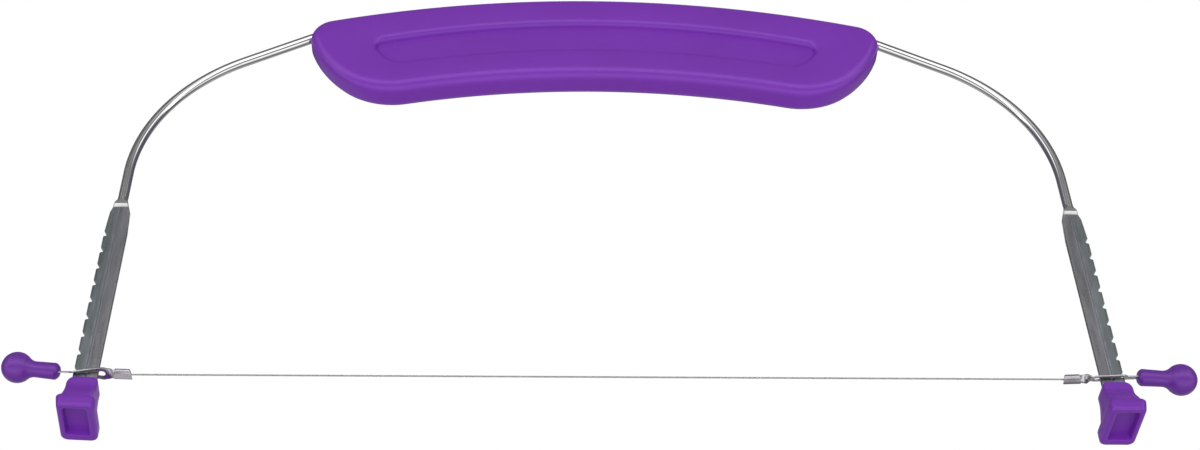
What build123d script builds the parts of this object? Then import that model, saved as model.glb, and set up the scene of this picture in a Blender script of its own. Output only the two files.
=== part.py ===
"""Cake leveler: a sprung steel bow on two feet, with a taut cutting cable that hooks into its legs.

Frame: X across the tool, from foot to foot. Y from front to back, the recessed face of the grip
looks to -Y. Z up. The origin is on the table, midway between the feet.
"""

import os
from math import cos, radians, sin, tan

from build123d import *

# Overall sizes
overall_width = 304.8  # knob tip to knob tip
overall_height = 158.75  # table to the crown of the grip
cut_overrun = 1.0  # how far a cutter runs past the face that it opens

# Steel rod of the bow
rod_diameter = 2.8
bow_radius = 53.0  # centreline bend over each leg
bow_slope = 29.5  # degrees below level, on the way down from the grip
bow_reach = 45.4  # from the leg's centreline to the end of the grip
grip_entry_drop = 15.5  # of the rod's centreline below the crown, at the end of the grip
hidden_run = 1.6  # how far the slope runs on inside the end wall of the grip

# Flattened legs
leg_width = 6.2
leg_thickness = 1.1
leg_top_width = 5.0
leg_upright = 10.25  # round rod between the flat and the bend
leg_transition = 3.2  # length over which the round rod turns flat
leg_neck = 5.2  # length over which the flat widens to its full width
leg_bevel = 0.16  # how much each face of the outer half falls away

# Notches in the outer edges
notch_pitch = 5.85
notch_top_margin = 4.0  # least height of plain edge over the top notch
notch_depth = 0.8
notch_ledge = 0.3  # drop of the lower flank
notch_ramp = 1.3  # rise of the upper flank

# Cutting cable and strip links
wire_diameter = 0.45
wire_over_foot = 3.2
wire_end_setback = 8.6  # from the leg's inner edge to the folded tab's end
strip_thickness = 0.4
link_tilt = 2.5  # degrees, outer end up
left_link_roll = 36.0  # degrees, the left link is turned about the cable
right_link_roll = 0.0
crimp_length = 4.6
crimp_height = 2.6
crimp_clearance = 0.03
neck_width = 2.3
eye_width = 3.9
slot_width = 2.0
slot_outer_clearance = 0.2  # past the tips of the teeth
slot_inner_clearance = 2.0  # play that lets the link leave a notch
eye_end_wall = 0.9
tongue_width = 1.85
tongue_insert = 7.0  # length held in the knob

# Knobs
knob_length = 15.2
knob_gap = 3.6  # between the leg and the mouth of the knob
knob_ball_diameter = 8.2
knob_shank_diameter = 4.2
knob_throat = 1.7  # bevel between shank and ball
knob_mouth_chamfer = 0.8
knob_clearance = 0.05
left_knob_tilt = 7.0  # degrees, ball end up
right_knob_tilt = -4.0

# Grip
handle_thickness = 9.2
handle_waist = 34.1  # height of the grip at its middle
handle_end_drop = 12.5  # of the upper corners below the crown, before rounding
handle_heel_setback = 22.1  # of the lower corners behind the upper ones, before rounding
handle_heel_drop = 7.9  # of the lower corners below the waist's underside
handle_end_radius = 36.0
handle_shoulder_round = 6.0
handle_heel_round = 21.0
handle_edge_bevel = 2.0

# Recess in each face of the grip
recess_top_margin = 11.4
recess_height = 12.1
recess_end_margin = 19.1  # between the upper corners of the recess and of the grip
recess_end_drop = 9.2  # of its upper corners below the recess's crown
recess_heel_setback = 7.0  # of its lower corners behind its upper ones
recess_heel_drop = 6.8  # of its lower corners below the middle of its lower edge
recess_depth = 1.2
recess_draft = 28.0
recess_shoulder_round = 3.2
recess_heel_round = 7.0

# Square pegs between the two halves of the grip
peg_width = 2.4
peg_length = 2.2
peg_clearance = 0.05
peg_setback = 33.1  # from the end of the grip
peg_drop = 25.5  # below the crown of the grip
rod_seat_clearance = 0.05

# Feet
foot_height = 12.2
shin_inner_wall = 1.9  # beside the leg, towards the middle
shin_outer_wall = 0.8
shin_depth = 6.8
shin_top_round = 2.1
instep_z = 7.0  # where the sloping instep meets the shin
shoe_depth = 15.2
shoe_height = 3.6
shoe_inner_reach = 2.8  # beyond the leg, towards the middle
shoe_outer_reach = 1.7  # beyond the leg, at the top of the shoe
sole_outer_reach = 0.8  # beyond the leg, at the sole
shoe_corner_round = 1.6
shoe_edge_chamfer = 0.4
sole_recess_depth = 2.2
sole_rim_inner = 2.7
sole_rim_outer = 1.4
sole_rim_front = 1.6
sole_rim_back = 2.4
sole_recess_round = 0.8
tang_depth = 8.0  # length of leg held in the foot
tang_clearance = 0.05

# Places worked out from the sizes
leg_outer_x = overall_width / 2 - knob_length - knob_gap
leg_inner_x = leg_outer_x - leg_width
leg_centre_x = leg_inner_x + leg_width / 2
leg_bottom_z = foot_height - tang_depth
rod_radius = rod_diameter / 2

wire_z = foot_height + wire_over_foot
wire_end_x = leg_inner_x - wire_end_setback

slot_inner_x = leg_inner_x - slot_inner_clearance
slot_outer_x = leg_outer_x + slot_outer_clearance
slot_length = slot_outer_x - slot_inner_x
slot_start = slot_inner_x - wire_end_x
eye_end = slot_start + slot_length + eye_end_wall
first_notch_z = wire_z + (leg_outer_x - wire_end_x) * tan(radians(link_tilt))

crown_z = overall_height
waist_z = crown_z - handle_waist
handle_end_x = leg_centre_x - bow_reach
handle_end_z = crown_z - handle_end_drop
handle_heel_x = handle_end_x - handle_heel_setback
handle_heel_z = waist_z - handle_heel_drop
recess_end_x = handle_end_x - recess_end_margin
recess_heel_x = recess_end_x - recess_heel_setback


def boat_outline(end_x, end_z, heel_x, heel_z, crown, waist, end_radius):
    """Closed outline of four arcs: crowned above, hollow below, bulging at both ends."""
    crown_arc = ThreePointArc((-end_x, end_z), (0, crown), (end_x, end_z))
    right_end = RadiusArc(crown_arc @ 1, (heel_x, heel_z), end_radius)
    waist_arc = ThreePointArc(right_end @ 1, (0, waist), (-heel_x, heel_z))
    RadiusArc(waist_arc @ 1, crown_arc @ 0, end_radius)


def by_corner(vertices, corner_z):
    """The two vertices of an outline that lie nearest to a height."""
    return vertices.sort_by(lambda vertex: abs(vertex.Y - corner_z))[:2]


# Bow: one rod from leg to leg. Each half turns from the upright over the bow's bend to the slope,
# and levels out in the end wall of the grip.
turn = 90 - bow_slope
slope_rise = tan(radians(bow_slope))
entry_z = crown_z - grip_entry_drop
bend_end_x = leg_centre_x - bow_radius * (1 - cos(radians(turn)))
bend_end_z = entry_z - (bend_end_x - handle_end_x) * slope_rise
bow_bend_z = bend_end_z - bow_radius * sin(radians(turn))
level_x = handle_end_x - hidden_run
level_z = entry_z + hidden_run * slope_rise
rod_start_z = bow_bend_z - leg_upright
leg_flat_top_z = rod_start_z - leg_transition
leg_full_width_z = leg_flat_top_z - leg_neck
notch_room = leg_full_width_z - notch_top_margin - first_notch_z
notch_count = 1 + int(notch_room / notch_pitch)

with BuildPart() as rod_half:
    with BuildLine(Plane.XZ) as rod_path:
        upright = Line((leg_centre_x, rod_start_z), (leg_centre_x, bow_bend_z))
        bend = JernArc(upright @ 1, (0, 1), bow_radius, turn)
        slope = Line(bend @ 1, (level_x, level_z))
        Line(slope @ 1, (0, level_z))
    with BuildSketch(Plane(origin=rod_path.line @ 0, z_dir=rod_path.line % 0)):
        Circle(rod_radius)
    sweep(transition=Transition.RIGHT)

# Right leg: the flat with its notched outer edge, and the short wedge where the rod was pressed flat.
top_inset = (leg_width - leg_top_width) / 2
with BuildPart() as leg:
    with BuildSketch(Plane.XZ):
        with BuildLine():
            Polyline(
                (leg_inner_x, leg_bottom_z),
                (leg_outer_x, leg_bottom_z),
                (leg_outer_x, leg_full_width_z),
                (leg_outer_x - top_inset, leg_flat_top_z),
                (leg_inner_x + top_inset, leg_flat_top_z),
                (leg_inner_x, leg_full_width_z),
                close=True,
            )
        make_face()
        for step in range(notch_count):
            notch_z = first_notch_z + step * notch_pitch
            floor_x = leg_outer_x - notch_depth
            mouth_x = leg_outer_x + notch_depth
            with BuildLine():
                Polyline(
                    (floor_x, notch_z - strip_thickness / 2),
                    (mouth_x, notch_z - strip_thickness / 2 - 2 * notch_ledge),
                    (mouth_x, notch_z + strip_thickness / 2 + 2 * notch_ramp),
                    (floor_x, notch_z + strip_thickness / 2),
                    close=True,
                )
            make_face(mode=Mode.SUBTRACT)
    extrude(amount=leg_thickness / 2, both=True)
    for face_y in (-leg_thickness / 2, leg_thickness / 2):
        inward = -leg_bevel if face_y > 0 else leg_bevel
        with BuildSketch(Plane.XY.offset(leg_bottom_z - cut_overrun)):
            with BuildLine():
                Polyline(
                    (leg_centre_x, face_y),
                    (leg_outer_x + leg_width / 2, face_y + 2 * inward),
                    (leg_outer_x + leg_width / 2, face_y - 2 * inward),
                    close=True,
                )
            make_face()
        extrude(amount=overall_height, mode=Mode.SUBTRACT)
    with BuildSketch(Plane.XY.offset(leg_flat_top_z)):
        with Locations((leg_centre_x, 0)):
            Rectangle(leg_top_width, leg_thickness)
    with BuildSketch(Plane.XY.offset(rod_start_z)):
        with Locations((leg_centre_x, 0)):
            Circle(rod_radius)
    loft()

with BuildPart() as bow_frame:
    add(rod_half.part)
    add(leg.part)
    mirror(about=Plane.YZ)

# Grip: one shell, used for both halves. It stands in front of the parting plane.
half_thickness = handle_thickness / 2
recess_crown_z = crown_z - recess_top_margin
recess_waist_z = recess_crown_z - recess_height
recess_shoulder_z = recess_crown_z - recess_end_drop
recess_heel_z = recess_waist_z - recess_heel_drop
peg_x = handle_end_x - peg_setback
peg_z = crown_z - peg_drop - peg_width
peg_places = [(-peg_x, peg_z), (peg_x, peg_z)]

with BuildPart() as cover_shell:
    with BuildSketch(Plane.XZ) as grip_outline:
        with BuildLine():
            boat_outline(
                handle_end_x,
                handle_end_z,
                handle_heel_x,
                handle_heel_z,
                crown_z,
                waist_z,
                handle_end_radius,
            )
        make_face()
        fillet(by_corner(grip_outline.vertices(), handle_end_z), handle_shoulder_round)
        fillet(by_corner(grip_outline.vertices(), handle_heel_z), handle_heel_round)
    extrude(amount=half_thickness)
    front_edges = cover_shell.faces().sort_by(Axis.Y)[0].edges()
    chamfer(front_edges, handle_edge_bevel)
    # The recess follows the grip's outline, and its floor is smaller than its mouth by the draft
    for depth in (0, recess_depth):
        inset = depth * tan(radians(recess_draft))
        with BuildSketch(Plane.XZ.offset(half_thickness - depth)) as recess_outline:
            with BuildLine():
                boat_outline(
                    recess_end_x - inset,
                    recess_shoulder_z - inset,
                    recess_heel_x - inset,
                    recess_heel_z + inset,
                    recess_crown_z - inset,
                    recess_waist_z + inset,
                    handle_end_radius,
                )
            make_face()
            fillet(by_corner(recess_outline.vertices(), recess_shoulder_z), recess_shoulder_round)
            fillet(by_corner(recess_outline.vertices(), recess_heel_z), recess_heel_round)
    loft(mode=Mode.SUBTRACT)

# Channel that the rod lies in, half in each cover
run_out = 2 * rod_diameter
with BuildPart() as rod_channel:
    with BuildLine(Plane.XZ) as channel_path:
        Polyline(
            (handle_end_x + run_out, entry_z - run_out * slope_rise),
            (level_x, level_z),
            (0, level_z),
        )
    with BuildSketch(Plane(origin=channel_path.line @ 0, z_dir=channel_path.line % 0)):
        Circle(rod_radius + rod_seat_clearance)
    sweep(transition=Transition.RIGHT)
    mirror(about=Plane.YZ)

with BuildPart() as handle_front_cover:
    add(cover_shell.part)
    add(rod_channel.part, mode=Mode.SUBTRACT)
    with BuildSketch(Plane.XZ):
        with Locations(*peg_places):
            Rectangle(peg_width, peg_width)
    extrude(amount=-peg_length)
handle_front_cover.part.label = "handle_front_cover"

with BuildPart() as handle_back_cover:
    add(mirror(cover_shell.part, about=Plane.XZ, mode=Mode.PRIVATE))
    add(rod_channel.part, mode=Mode.SUBTRACT)
    with BuildSketch(Plane.XZ):
        with Locations(*peg_places):
            Rectangle(peg_width + 2 * peg_clearance, peg_width + 2 * peg_clearance)
    extrude(amount=-(peg_length + peg_clearance), mode=Mode.SUBTRACT)
handle_back_cover.part.label = "handle_back_cover"

bow_frame.part.label = "bow_frame"

# Right foot: a flat shoe with an outward ledge, and a shin that slopes down to the shoe's toe and heel
shin_inner_x = leg_inner_x - shin_inner_wall
shin_outer_x = leg_outer_x + shin_outer_wall
shoe_inner_x = leg_inner_x - shoe_inner_reach
shoe_outer_x = leg_outer_x + shoe_outer_reach
sole_outer_x = leg_outer_x + sole_outer_reach
recess_inner_x = shoe_inner_x + sole_rim_inner
recess_outer_x = sole_outer_x - sole_rim_outer
recess_front_y = -shoe_depth / 2 + sole_rim_front
recess_back_y = shoe_depth / 2 - sole_rim_back

with BuildPart() as foot:
    with BuildSketch(Plane.XY):
        with Locations(((shoe_inner_x + shoe_outer_x) / 2, 0)):
            RectangleRounded(shoe_outer_x - shoe_inner_x, shoe_depth, shoe_corner_round)
    extrude(amount=shoe_height)
    chamfer(foot.faces().sort_by(Axis.Z)[-1].edges(), shoe_edge_chamfer)
    # The outer side leans out, from the sole to the top of the shoe
    with BuildSketch(Plane.XZ):
        with BuildLine():
            Polyline(
                (sole_outer_x, 0),
                (shoe_outer_x, shoe_height - shoe_edge_chamfer),
                (shoe_outer_x + cut_overrun, shoe_height - shoe_edge_chamfer),
                (shoe_outer_x + cut_overrun, 0),
                close=True,
            )
        make_face()
    extrude(amount=shoe_depth, both=True, mode=Mode.SUBTRACT)
    with BuildSketch(Plane.YZ.offset(shin_inner_x)):
        with BuildLine():
            Polyline(
                (-shoe_depth / 2 + shoe_edge_chamfer, 0),
                (-shoe_depth / 2 + shoe_edge_chamfer, shoe_height - shoe_edge_chamfer),
                (-shin_depth / 2, instep_z),
                (-shin_depth / 2, foot_height),
                (shin_depth / 2, foot_height),
                (shin_depth / 2, instep_z),
                (shoe_depth / 2 - shoe_edge_chamfer, shoe_height - shoe_edge_chamfer),
                (shoe_depth / 2 - shoe_edge_chamfer, 0),
                close=True,
            )
        make_face()
    extrude(amount=shin_outer_x - shin_inner_x)
    top_edges = foot.faces().sort_by(Axis.Z)[-1].edges()
    fillet(top_edges.filter_by(Axis.Y), shin_top_round)
    with BuildSketch(Plane.XY):
        with Locations(((recess_inner_x + recess_outer_x) / 2, (recess_front_y + recess_back_y) / 2)):
            RectangleRounded(
                recess_outer_x - recess_inner_x,
                recess_back_y - recess_front_y,
                sole_recess_round,
            )
    extrude(amount=sole_recess_depth, mode=Mode.SUBTRACT)
    with BuildSketch(Plane.XY.offset(leg_bottom_z - tang_clearance)):
        with Locations((leg_centre_x, 0)):
            Rectangle(leg_width + 2 * tang_clearance, leg_thickness + 2 * tang_clearance)
    extrude(amount=tang_depth + cut_overrun, mode=Mode.SUBTRACT)

with BuildPart() as right_foot:
    add(foot.part)
right_foot.part.label = "right_foot"

with BuildPart() as left_foot:
    add(mirror(foot.part, about=Plane.YZ, mode=Mode.PRIVATE))
left_foot.part.label = "left_foot"


def tilted_plane(origin, tilt, roll):
    """Plane whose X runs outwards and rises by tilt, turned about that X by roll."""
    slant, twist = radians(tilt), radians(roll)
    return Plane(
        origin=origin,
        x_dir=(cos(slant), 0, sin(slant)),
        z_dir=(-sin(slant) * cos(twist), -sin(twist), cos(slant) * cos(twist)),
    )


def knob_mouth(tilt):
    """Centre of the knob's mouth, so that the tip of its ball keeps the overall width."""
    ball_radius = knob_ball_diameter / 2
    reach = (knob_length - ball_radius) * cos(radians(tilt)) + ball_radius
    mouth_x = overall_width / 2 - reach
    return (mouth_x, 0, wire_z + (mouth_x - wire_end_x) * tan(radians(link_tilt)))


def wire_link(roll, tilt):
    """Right-hand link: folded tab, upright neck that runs out into the flat eye, slot, and tongue."""
    mouth = knob_mouth(tilt)
    tongue_end = (mouth[0] - wire_end_x) / cos(radians(link_tilt))
    gap = wire_diameter / 2 + crimp_clearance
    crimp_half = gap + strip_thickness
    neck_start = crimp_length - strip_thickness / 2
    neck_end = slot_start - eye_end_wall / 2
    with BuildPart() as flat_link:
        with BuildSketch(Plane.YZ):
            Rectangle(2 * crimp_half, crimp_height)
            with Locations((0, -strip_thickness)):
                Rectangle(2 * gap, crimp_height, mode=Mode.SUBTRACT)
        extrude(amount=crimp_length)
        fillet(flat_link.faces().sort_by(Axis.Z)[-1].edges().filter_by(Axis.X), strip_thickness)
        # The neck falls in height and grows in width, as the strip does in its quarter turn
        with BuildSketch(Plane.XZ):
            with BuildLine():
                Polyline(
                    (neck_start, crimp_height / 2),
                    (neck_end, strip_thickness / 2),
                    (neck_end, -strip_thickness / 2),
                    (neck_start, -crimp_height / 2),
                    close=True,
                )
            make_face()
        extrude(amount=crimp_half, both=True)
        with BuildSketch(Plane.XY.offset(-strip_thickness / 2)):
            with BuildLine():
                Polyline(
                    (neck_start, crimp_half),
                    (neck_end, neck_width / 2),
                    (neck_end, -neck_width / 2),
                    (neck_start, -crimp_half),
                    close=True,
                )
            make_face()
            with Locations(((slot_start - eye_end_wall + eye_end) / 2, 0)):
                SlotOverall(eye_end - slot_start + eye_end_wall, eye_width)
            with Locations(((eye_end - eye_end_wall + tongue_end) / 2, 0)):
                Rectangle(tongue_end - eye_end + eye_end_wall, tongue_width)
            with Locations((slot_start + slot_length / 2, 0)):
                SlotOverall(slot_length, slot_width, mode=Mode.SUBTRACT)
        extrude(amount=strip_thickness)
    with BuildPart() as insert:
        with BuildSketch(Plane.YZ.offset(-strip_thickness / 2)):
            Rectangle(tongue_width, strip_thickness)
        extrude(amount=tongue_insert + strip_thickness / 2)
    with BuildPart() as link:
        add(flat_link.part.moved(tilted_plane((wire_end_x, 0, wire_z), link_tilt, roll).location))
        add(insert.part.moved(tilted_plane(mouth, tilt, roll).location))
    return link.part


def knob(roll, tilt):
    """Right-hand knob: a ball on a shank, with a flat bore for the tongue of its link."""
    ball_radius = knob_ball_diameter / 2
    shank_radius = knob_shank_diameter / 2
    with BuildPart() as turned:
        with BuildSketch(Plane.XZ) as profile:
            with Locations((knob_length - ball_radius, 0)):
                Circle(ball_radius)
            with Locations(((knob_length - ball_radius) / 2, 0)):
                Rectangle(knob_length - ball_radius, knob_shank_diameter)
            mouth_corners = profile.vertices().group_by(Axis.X)[0]
            chamfer(mouth_corners, knob_mouth_chamfer)
            throat = profile.vertices().filter_by(
                lambda corner: abs(abs(corner.Y) - shank_radius) < knob_clearance
            )
            chamfer(throat.sort_by(Axis.X)[-2:], knob_throat)
            with Locations((knob_length / 2, -shank_radius * 2)):
                Rectangle(2 * knob_length, 4 * shank_radius, mode=Mode.SUBTRACT)
        revolve(axis=Axis.X)
        with BuildSketch(Plane.YZ):
            Rectangle(tongue_width + 2 * knob_clearance, strip_thickness + 2 * knob_clearance)
        extrude(amount=tongue_insert + knob_clearance, mode=Mode.SUBTRACT)
    with BuildPart() as placed:
        add(turned.part.moved(tilted_plane(knob_mouth(tilt), tilt, roll).location))
    return placed.part


with BuildPart() as right_wire_link:
    add(wire_link(right_link_roll, right_knob_tilt))
right_wire_link.part.label = "right_wire_link"

with BuildPart() as left_wire_link:
    add(mirror(wire_link(left_link_roll, left_knob_tilt), about=Plane.YZ, mode=Mode.PRIVATE))
left_wire_link.part.label = "left_wire_link"

with BuildPart() as right_knob:
    add(knob(right_link_roll, right_knob_tilt))
right_knob.part.label = "right_knob"

with BuildPart() as left_knob:
    add(mirror(knob(left_link_roll, left_knob_tilt), about=Plane.YZ, mode=Mode.PRIVATE))
left_knob.part.label = "left_knob"

# Cable: straight between the tabs, its ends following the tilt of the links
held_length = crimp_length - strip_thickness
held_x = wire_end_x + held_length * cos(radians(link_tilt))
held_z = wire_z + held_length * sin(radians(link_tilt))
with BuildPart() as cutting_wire:
    with BuildLine(Plane.XZ) as wire_path:
        Polyline((-held_x, held_z), (-wire_end_x, wire_z), (wire_end_x, wire_z), (held_x, held_z))
    with BuildSketch(Plane(origin=wire_path.line @ 0, z_dir=wire_path.line % 0)):
        Circle(wire_diameter / 2)
    sweep(transition=Transition.RIGHT)
cutting_wire.part.label = "cutting_wire"

os.makedirs("parts", exist_ok=True)
export_step(bow_frame.part, "parts/bow_frame.step")
export_step(handle_front_cover.part, "parts/handle_front_cover.step")
export_step(handle_back_cover.part, "parts/handle_back_cover.step")
export_step(left_foot.part, "parts/left_foot.step")
export_step(right_foot.part, "parts/right_foot.step")
export_step(cutting_wire.part, "parts/cutting_wire.step")
export_step(left_wire_link.part, "parts/left_wire_link.step")
export_step(right_wire_link.part, "parts/right_wire_link.step")
export_step(left_knob.part, "parts/left_knob.step")
export_step(right_knob.part, "parts/right_knob.step")
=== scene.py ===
"""Looks of the cake leveler: a sprung steel bow on two purple feet, a purple grip, and a stranded
cutting cable that hooks into the notched legs.

Every size is in metres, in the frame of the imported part: X across the tool, the recessed face of
the grip looks to -Y, Z up, the table at zero.
"""

import bmesh
import bpy
import numpy as np
from mathutils import Matrix, Vector


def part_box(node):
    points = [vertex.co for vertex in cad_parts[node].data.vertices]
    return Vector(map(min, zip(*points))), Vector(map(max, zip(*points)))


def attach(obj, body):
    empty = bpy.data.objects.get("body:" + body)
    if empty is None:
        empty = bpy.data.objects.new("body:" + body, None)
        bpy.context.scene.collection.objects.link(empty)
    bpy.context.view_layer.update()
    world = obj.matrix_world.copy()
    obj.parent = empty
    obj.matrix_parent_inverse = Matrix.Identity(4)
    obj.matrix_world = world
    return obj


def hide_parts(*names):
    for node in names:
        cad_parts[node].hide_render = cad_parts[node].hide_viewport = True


bl_info = {
    "name": "Cake Leveler",
    "version": (1, 0, 0),
    "blender": (4, 5, 0),
    "location": "View3D > Sidebar > Leveler",
    "description": "Builds the shown surfaces, finishes, stage and camera of a cake leveler",
    "category": "Object",
}

MM = 0.001
CABLE_DIAMETER = 0.45 * MM
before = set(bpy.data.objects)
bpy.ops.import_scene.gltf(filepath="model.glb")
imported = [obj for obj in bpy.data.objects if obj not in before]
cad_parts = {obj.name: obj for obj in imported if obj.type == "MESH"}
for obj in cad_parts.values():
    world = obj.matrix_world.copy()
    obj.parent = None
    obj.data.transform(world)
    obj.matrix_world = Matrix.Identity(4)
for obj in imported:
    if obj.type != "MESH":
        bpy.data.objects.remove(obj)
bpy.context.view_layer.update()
KNOB_TIP_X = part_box("right_knob")[1].x
CROWN_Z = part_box("handle_front_cover")[1].z
GRIP_FACE_Y = -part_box("handle_front_cover")[0].y
LEG_FOOT_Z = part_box("bow_frame")[0].z
WIRE_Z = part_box("cutting_wire")[0].z + CABLE_DIAMETER / 2


def length(label, text, size):
    """A length property, in metres."""
    return bpy.props.FloatProperty(
        name=label, description=text, default=size, unit="LENGTH", subtype="DISTANCE", precision=5
    )


def share(label, text, value, top=1.0):
    """A plain number property, such as a roughness or a strength."""
    return bpy.props.FloatProperty(name=label, description=text, default=value, min=0.0, max=top)


def angle(label, text, degrees):
    """An angle property, written here in degrees."""
    return bpy.props.FloatProperty(
        name=label, description=text, default=np.radians(degrees), subtype="ANGLE", unit="ROTATION"
    )


def point(label, text, place):
    """A property for a point in space, in metres."""
    return bpy.props.FloatVectorProperty(
        name=label, description=text, default=place, subtype="TRANSLATION", unit="LENGTH"
    )


def colour(label, text, rgb):
    """A linear colour property."""
    return bpy.props.FloatVectorProperty(
        name=label, description=text, default=rgb, size=3, subtype="COLOR", min=0.0, max=1.0
    )


def count(label, text, number):
    """A whole number property."""
    return bpy.props.IntProperty(name=label, description=text, default=number, min=1)


class LevelerBowSizes(bpy.types.PropertyGroup):
    """Rod and flattened legs of the bow."""

    rod_diameter: length("Rod diameter", "Round steel rod", 2.8 * MM)
    bend_radius: length("Bend radius", "Centreline bend over each leg", 53 * MM)
    slope: angle("Slope", "Fall of the rod on its way out of the grip", 29.5)
    grip_end_x: length("Grip end", "Where the rod enters the grip, from the middle", 85.1 * MM)
    entry_drop: length("Entry drop", "Rod centreline below the crown, where it enters", 15.5 * MM)
    hidden_run: length("Hidden run", "Slope that runs on inside the grip's end wall", 1.6 * MM)
    leg_x: length("Leg centreline", "From the middle of the tool to the leg", 130.5 * MM)
    leg_width: length("Leg width", "Flattened strip", 6.2 * MM)
    leg_top_width: length("Leg top width", "Strip width where the rod was pressed flat", 4.3 * MM)
    leg_shoulder_width: length("Leg shoulder width", "Strip width at its shoulder", 5.4 * MM)
    leg_shoulder: length("Leg shoulder", "Shoulder below the top of the strip", 1.9 * MM)
    leg_thickness: length("Leg thickness", "Flattened strip", 1.1 * MM)
    outer_fall: length("Outer fall", "How much the outer half thins to its edge, per face", 0.16 * MM)
    groove_width: length("Groove width", "Half the width of the pressed middle line", 0.5 * MM)
    groove_depth: length("Groove depth", "Of the pressed middle line", 0.1 * MM)
    upright: length("Upright", "Round rod between the flat and the bend", 10.25 * MM)
    transition: length("Transition", "Length over which the round rod turns flat", 3.2 * MM)
    facet: length("Facet", "Steep facet at the foot of the transition", 0.68 * MM)
    facet_share: share("Facet share", "Share of the thinning that the facet takes", 0.78)
    neck: length("Neck", "Length over which the strip widens", 9.5 * MM)
    notch_count: count("Notches", "Notches in each leg", 9)
    notch_pitch: length("Notch pitch", "Height from notch to notch", 5.85 * MM)
    notch_depth: length("Notch depth", "Into the outer edge", 0.8 * MM)
    notch_ledge: length("Notch ledge", "Drop of the lower flank", 0.3 * MM)
    notch_ramp: length("Notch ramp", "Rise of the upper flank", 1.3 * MM)
    notch_floor: length("Notch floor", "Height of the notch's floor", 0.4 * MM)
    first_notch: length("First notch", "Height of the lowest notch", 16.05 * MM)


class LevelerGripSizes(bpy.types.PropertyGroup):
    """Grip outline, edge round and recess."""

    end_x: length("End", "Upper corners, from the middle", 86.0 * MM)
    waist: length("Waist", "Height of the grip at its middle", 34.1 * MM)
    end_drop: length("End drop", "Upper corners below the crown", 12.5 * MM)
    heel_setback: length("Heel setback", "Lower corners behind the upper ones", 23.0 * MM)
    heel_drop: length("Heel drop", "Lower corners below the underside's middle", 7.9 * MM)
    end_radius: length("End radius", "Bulge of each end", 36 * MM)
    shoulder_round: length("Shoulder round", "Upper corners", 7.5 * MM)
    heel_round: length("Heel round", "Lower corners", 21 * MM)
    edge_round: length("Edge round", "Between each face and the rim", 3 * MM)
    recess_margin: length("Recess margin", "Recess below the crown", 11.4 * MM)
    recess_height: length("Recess height", "At the middle", 12.1 * MM)
    recess_end: length("Recess end", "Upper corners, from the middle", 67.1 * MM)
    recess_end_drop: length("Recess end drop", "Upper corners below its crown", 9.2 * MM)
    recess_heel: length("Recess heel", "Lower corners, from the middle", 59.4 * MM)
    recess_heel_drop: length("Recess heel drop", "Lower corners below its lower edge", 6.8 * MM)
    recess_depth: length("Recess depth", "Below the face", 1.7 * MM)
    recess_draft: angle("Recess draft", "Lean of the recess wall", 20)
    recess_shoulder: length("Recess shoulder", "Round of the upper corners", 3.2 * MM)
    recess_heel_round: length("Recess heel round", "Round of the lower corners", 7 * MM)
    floor_ring: length("Floor ring", "Innermost ring of the recess floor", 1.2 * MM)
    lip_round: length("Lip round", "Softened edge between face and recess", 1.8 * MM)


class LevelerKnobSizes(bpy.types.PropertyGroup):
    """Turned shape and lean of the end knobs."""

    length: length("Length", "From mouth to tip", 15.2 * MM)
    ball: length("Ball", "Diameter of the ball", 8.2 * MM)
    shank: length("Shank", "Diameter of the shank", 4.2 * MM)
    blend: length("Blend", "Throat between shank and ball", 3 * MM)
    mouth: length("Mouth", "Chamfer at the mouth", 0.8 * MM)
    mouth_hole: length("Mouth hole", "Radius of the face's innermost ring", 0.6 * MM)
    softness: length("Softness", "Rounding of the chamfer's two edges", 0.25 * MM)
    flare: share("Flare", "Shank at the mouth, as a share of the shank at the throat", 1.06, 2)
    left_size: share("Left size", "Left knob against the right one, from its mouth", 0.965, 2)
    left_lean: angle("Left lean", "Ball end up", 7)
    right_lean: angle("Right lean", "Ball end down", -4)
    link_lean: angle("Link lean", "Outer end of each link up", 2.5)
    cable_end_x: length("Cable end", "Where the folded tab starts, from the middle", 118.8 * MM)


class LevelerCableSizes(bpy.types.PropertyGroup):
    """Stranded cutting cable."""

    diameter: length("Diameter", "Over all strands", CABLE_DIAMETER)
    lay: length("Lay", "Length of one turn of a strand", 3.6 * MM)
    held: length("Held length", "Cable inside each folded tab", 4.2 * MM)


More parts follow.
